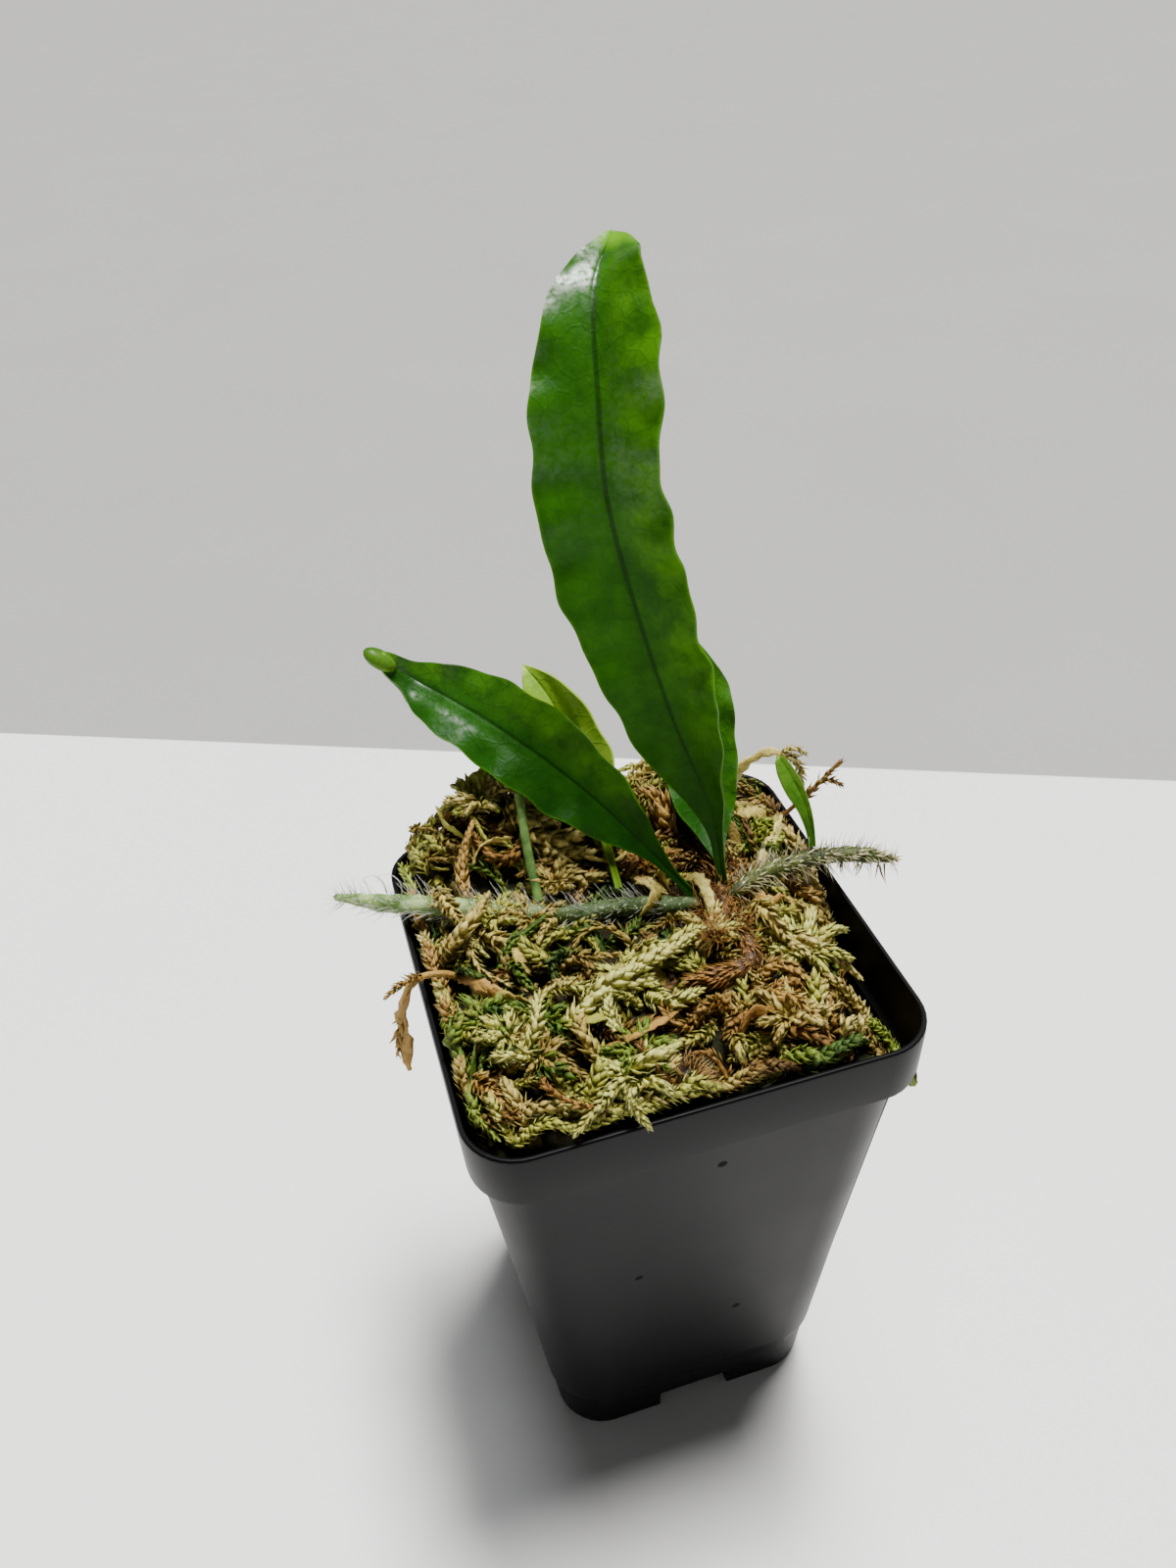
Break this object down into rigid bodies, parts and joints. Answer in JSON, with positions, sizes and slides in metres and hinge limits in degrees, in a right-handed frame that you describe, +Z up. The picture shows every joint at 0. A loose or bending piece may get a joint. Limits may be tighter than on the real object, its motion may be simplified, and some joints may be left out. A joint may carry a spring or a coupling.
{
  "type": "potted fern",
  "caption": "Small creeping fern with strap-shaped glossy fronds and hairy rhizomes in a square plastic nursery pot of sphagnum moss.",
  "frame": {"origin": "centre of the pot's flat underside", "axes": "+Z up along the pot's axis, +X to the right and -Y to the front, square to the pot's sides"},
  "size_m": [0.0796, 0.0722, 0.1774],
  "materials": {
    "pot": "satin charcoal plastic",
    "sphagnum": "damp straw moss",
    "sphagnum_pale": "pale cream and yellow-green moss",
    "sphagnum_green": "living green moss",
    "sphagnum_brown": "old brown moss",
    "rhizome_green": "pale green with silvery hairs",
    "rhizome_olive": "olive with straw scales",
    "rhizome_brown": "coppery brown scales",
    "blade": "glossy green blade",
    "blade_dark": "glossy dark green blade",
    "blade_light": "light yellow-green blade",
    "stalk": "green stalk"
  },
  "bodies": {
    "root": {"pot": "pot", "moss_bed": "sphagnum", "moss_arch": "sphagnum_pale", "moss_red_stem": "sphagnum_brown", "moss_hanging": "sphagnum_brown", "moss_pale_middle": "sphagnum_pale", "moss_pale_front": "sphagnum_pale", "moss_front_rim": "sphagnum_pale", "moss_green_left": "sphagnum_green", "moss_straw_right": "sphagnum", "moss_fingers": "sphagnum", "rhizome_left": "rhizome_green", "rhizome_right": "rhizome_olive", "rhizome_old": "rhizome_brown", "rhizome_end": "rhizome_brown", "frond_tall": "blade", "frond_left": "blade_dark", "frond_light": "blade_light", "frond_behind": "blade_dark", "frond_young": "blade", "petiole_stub": "stalk"}
  },
  "joints": []
}
